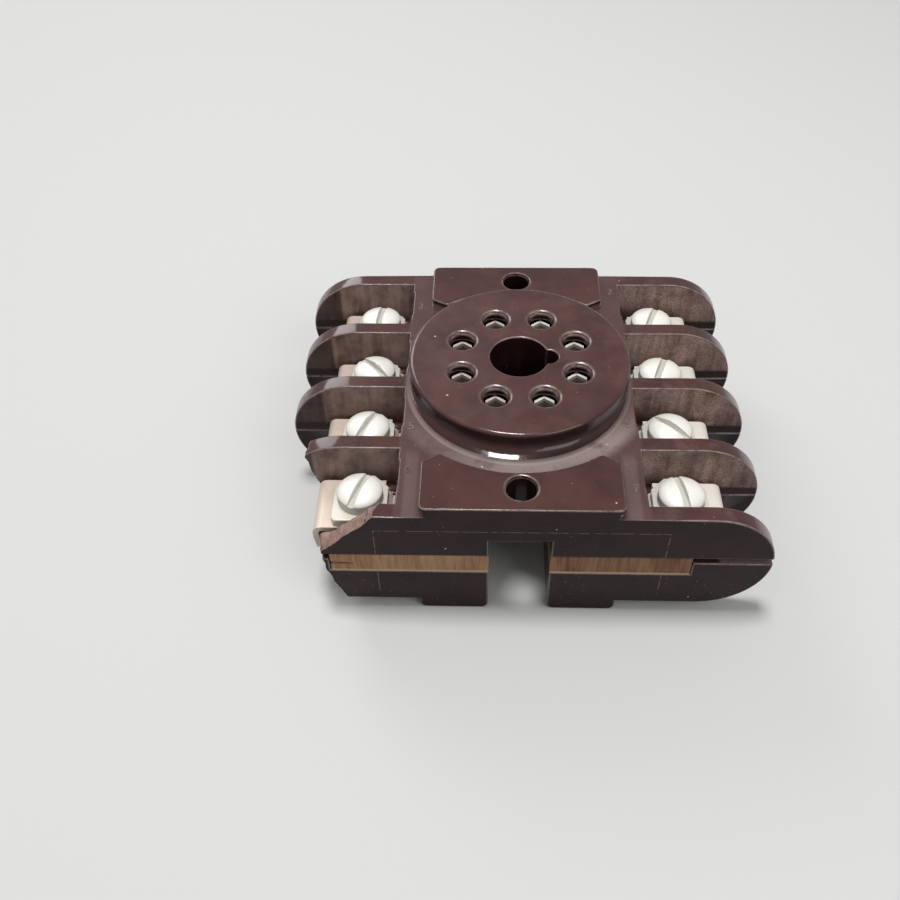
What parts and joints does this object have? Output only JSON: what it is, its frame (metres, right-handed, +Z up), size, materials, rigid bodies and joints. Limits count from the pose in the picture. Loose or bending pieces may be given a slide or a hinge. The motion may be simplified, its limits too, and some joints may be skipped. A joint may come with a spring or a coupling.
{
  "type": "relay socket",
  "caption": "Moulded screw terminal socket for a plug-in relay: round pin disc between two rows of clamp terminals, one corner broken off",
  "frame": {"origin": "on the standing surface, under the middle of the socket's outline", "axes": "+X across the two rows of terminals, +Y from the front block with the broken corner to the back block, +Z up"},
  "size_m": [0.0668, 0.0504, 0.025],
  "materials": {
    "moulding": "polished dark brown phenolic moulding, dusty",
    "laminate": "pressed paper laminate, sawn edge",
    "contact_metal": "dull tinned strip",
    "clamp_metal": "satin plated",
    "screw_metal": "satin nickel plate",
    "base_screw_metal": "plain zinc plate"
  },
  "bodies": {
    "socket": {"upper_moulding": "moulding", "base_moulding_left": "moulding", "base_moulding_right": "moulding", "insulating_sheet_left": "laminate", "insulating_sheet_right": "laminate", "contact_strip_left_1": "contact_metal", "contact_strip_left_2": "contact_metal", "contact_strip_left_3": "contact_metal", "contact_strip_left_4": "contact_metal", "contact_strip_right_1": "contact_metal", "contact_strip_right_2": "contact_metal", "contact_strip_right_3": "contact_metal", "contact_strip_right_4": "contact_metal", "base_screw_left_front": "base_screw_metal", "base_screw_left_back": "base_screw_metal", "base_screw_right_front": "base_screw_metal", "base_screw_right_back": "base_screw_metal"},
    "clamp_left_1": {"clamp_plate_left_1": "clamp_metal"},
    "screw_left_1": {"terminal_screw_left_1": "screw_metal"},
    "clamp_left_2": {"clamp_plate_left_2": "clamp_metal"},
    "screw_left_2": {"terminal_screw_left_2": "screw_metal"},
    "clamp_left_3": {"clamp_plate_left_3": "clamp_metal"},
    "screw_left_3": {"terminal_screw_left_3": "screw_metal"},
    "clamp_left_4": {"clamp_plate_left_4": "clamp_metal"},
    "screw_left_4": {"terminal_screw_left_4": "screw_metal"},
    "clamp_right_1": {"clamp_plate_right_1": "clamp_metal"},
    "screw_right_1": {"terminal_screw_right_1": "screw_metal"},
    "clamp_right_2": {"clamp_plate_right_2": "clamp_metal"},
    "screw_right_2": {"terminal_screw_right_2": "screw_metal"},
    "clamp_right_3": {"clamp_plate_right_3": "clamp_metal"},
    "screw_right_3": {"terminal_screw_right_3": "screw_metal"},
    "clamp_right_4": {"clamp_plate_right_4": "clamp_metal"},
    "screw_right_4": {"terminal_screw_right_4": "screw_metal"}
  },
  "joints": [
    {"name": "terminal_left_1_lift", "type": "slide", "parent": "socket", "child": "clamp_left_1", "axis": [0, 0, 1], "range_m": [0, 0.00225]},
    {"name": "terminal_left_1_turn", "type": "hinge", "parent": "clamp_left_1", "child": "screw_left_1", "pos_m": [-0.0215, 0.018, 0.0164], "axis": [0, 0, 1], "range_deg": [0, 1350]},
    {"name": "terminal_left_2_lift", "type": "slide", "parent": "socket", "child": "clamp_left_2", "axis": [0, 0, 1], "range_m": [0, 0.00225]},
    {"name": "terminal_left_2_turn", "type": "hinge", "parent": "clamp_left_2", "child": "screw_left_2", "pos_m": [-0.0215, 0.006, 0.0164], "axis": [0, 0, 1], "range_deg": [0, 1350]},
    {"name": "terminal_left_3_lift", "type": "slide", "parent": "socket", "child": "clamp_left_3", "axis": [0, 0, 1], "range_m": [0, 0.00225]},
    {"name": "terminal_left_3_turn", "type": "hinge", "parent": "clamp_left_3", "child": "screw_left_3", "pos_m": [-0.0215, -0.006, 0.0164], "axis": [0, 0, 1], "range_deg": [0, 1350]},
    {"name": "terminal_left_4_lift", "type": "slide", "parent": "socket", "child": "clamp_left_4", "axis": [0, 0, 1], "range_m": [0, 0.00225]},
    {"name": "terminal_left_4_turn", "type": "hinge", "parent": "clamp_left_4", "child": "screw_left_4", "pos_m": [-0.0215, -0.018, 0.0164], "axis": [0, 0, 1], "range_deg": [0, 1350]},
    {"name": "terminal_right_1_lift", "type": "slide", "parent": "socket", "child": "clamp_right_1", "axis": [0, 0, 1], "range_m": [0, 0.00225]},
    {"name": "terminal_right_1_turn", "type": "hinge", "parent": "clamp_right_1", "child": "screw_right_1", "pos_m": [0.0215, 0.018, 0.0164], "axis": [0, 0, 1], "range_deg": [0, 1350]},
    {"name": "terminal_right_2_lift", "type": "slide", "parent": "socket", "child": "clamp_right_2", "axis": [0, 0, 1], "range_m": [0, 0.00225]},
    {"name": "terminal_right_2_turn", "type": "hinge", "parent": "clamp_right_2", "child": "screw_right_2", "pos_m": [0.0215, 0.006, 0.0164], "axis": [0, 0, 1], "range_deg": [0, 1350]},
    {"name": "terminal_right_3_lift", "type": "slide", "parent": "socket", "child": "clamp_right_3", "axis": [0, 0, 1], "range_m": [0, 0.00225]},
    {"name": "terminal_right_3_turn", "type": "hinge", "parent": "clamp_right_3", "child": "screw_right_3", "pos_m": [0.0215, -0.006, 0.0164], "axis": [0, 0, 1], "range_deg": [0, 1350]},
    {"name": "terminal_right_4_lift", "type": "slide", "parent": "socket", "child": "clamp_right_4", "axis": [0, 0, 1], "range_m": [0, 0.00225]},
    {"name": "terminal_right_4_turn", "type": "hinge", "parent": "clamp_right_4", "child": "screw_right_4", "pos_m": [0.0215, -0.018, 0.0164], "axis": [0, 0, 1], "range_deg": [0, 1350]}
  ],
  "couplings": [
    {"joint": "terminal_left_1_turn", "follows": "terminal_left_1_lift", "rad_per_m": 10472},
    {"joint": "terminal_left_2_turn", "follows": "terminal_left_2_lift", "rad_per_m": 10472},
    {"joint": "terminal_left_3_turn", "follows": "terminal_left_3_lift", "rad_per_m": 10472},
    {"joint": "terminal_left_4_turn", "follows": "terminal_left_4_lift", "rad_per_m": 10472},
    {"joint": "terminal_right_1_turn", "follows": "terminal_right_1_lift", "rad_per_m": 10472},
    {"joint": "terminal_right_2_turn", "follows": "terminal_right_2_lift", "rad_per_m": 10472},
    {"joint": "terminal_right_3_turn", "follows": "terminal_right_3_lift", "rad_per_m": 10472},
    {"joint": "terminal_right_4_turn", "follows": "terminal_right_4_lift", "rad_per_m": 10472}
  ]
}
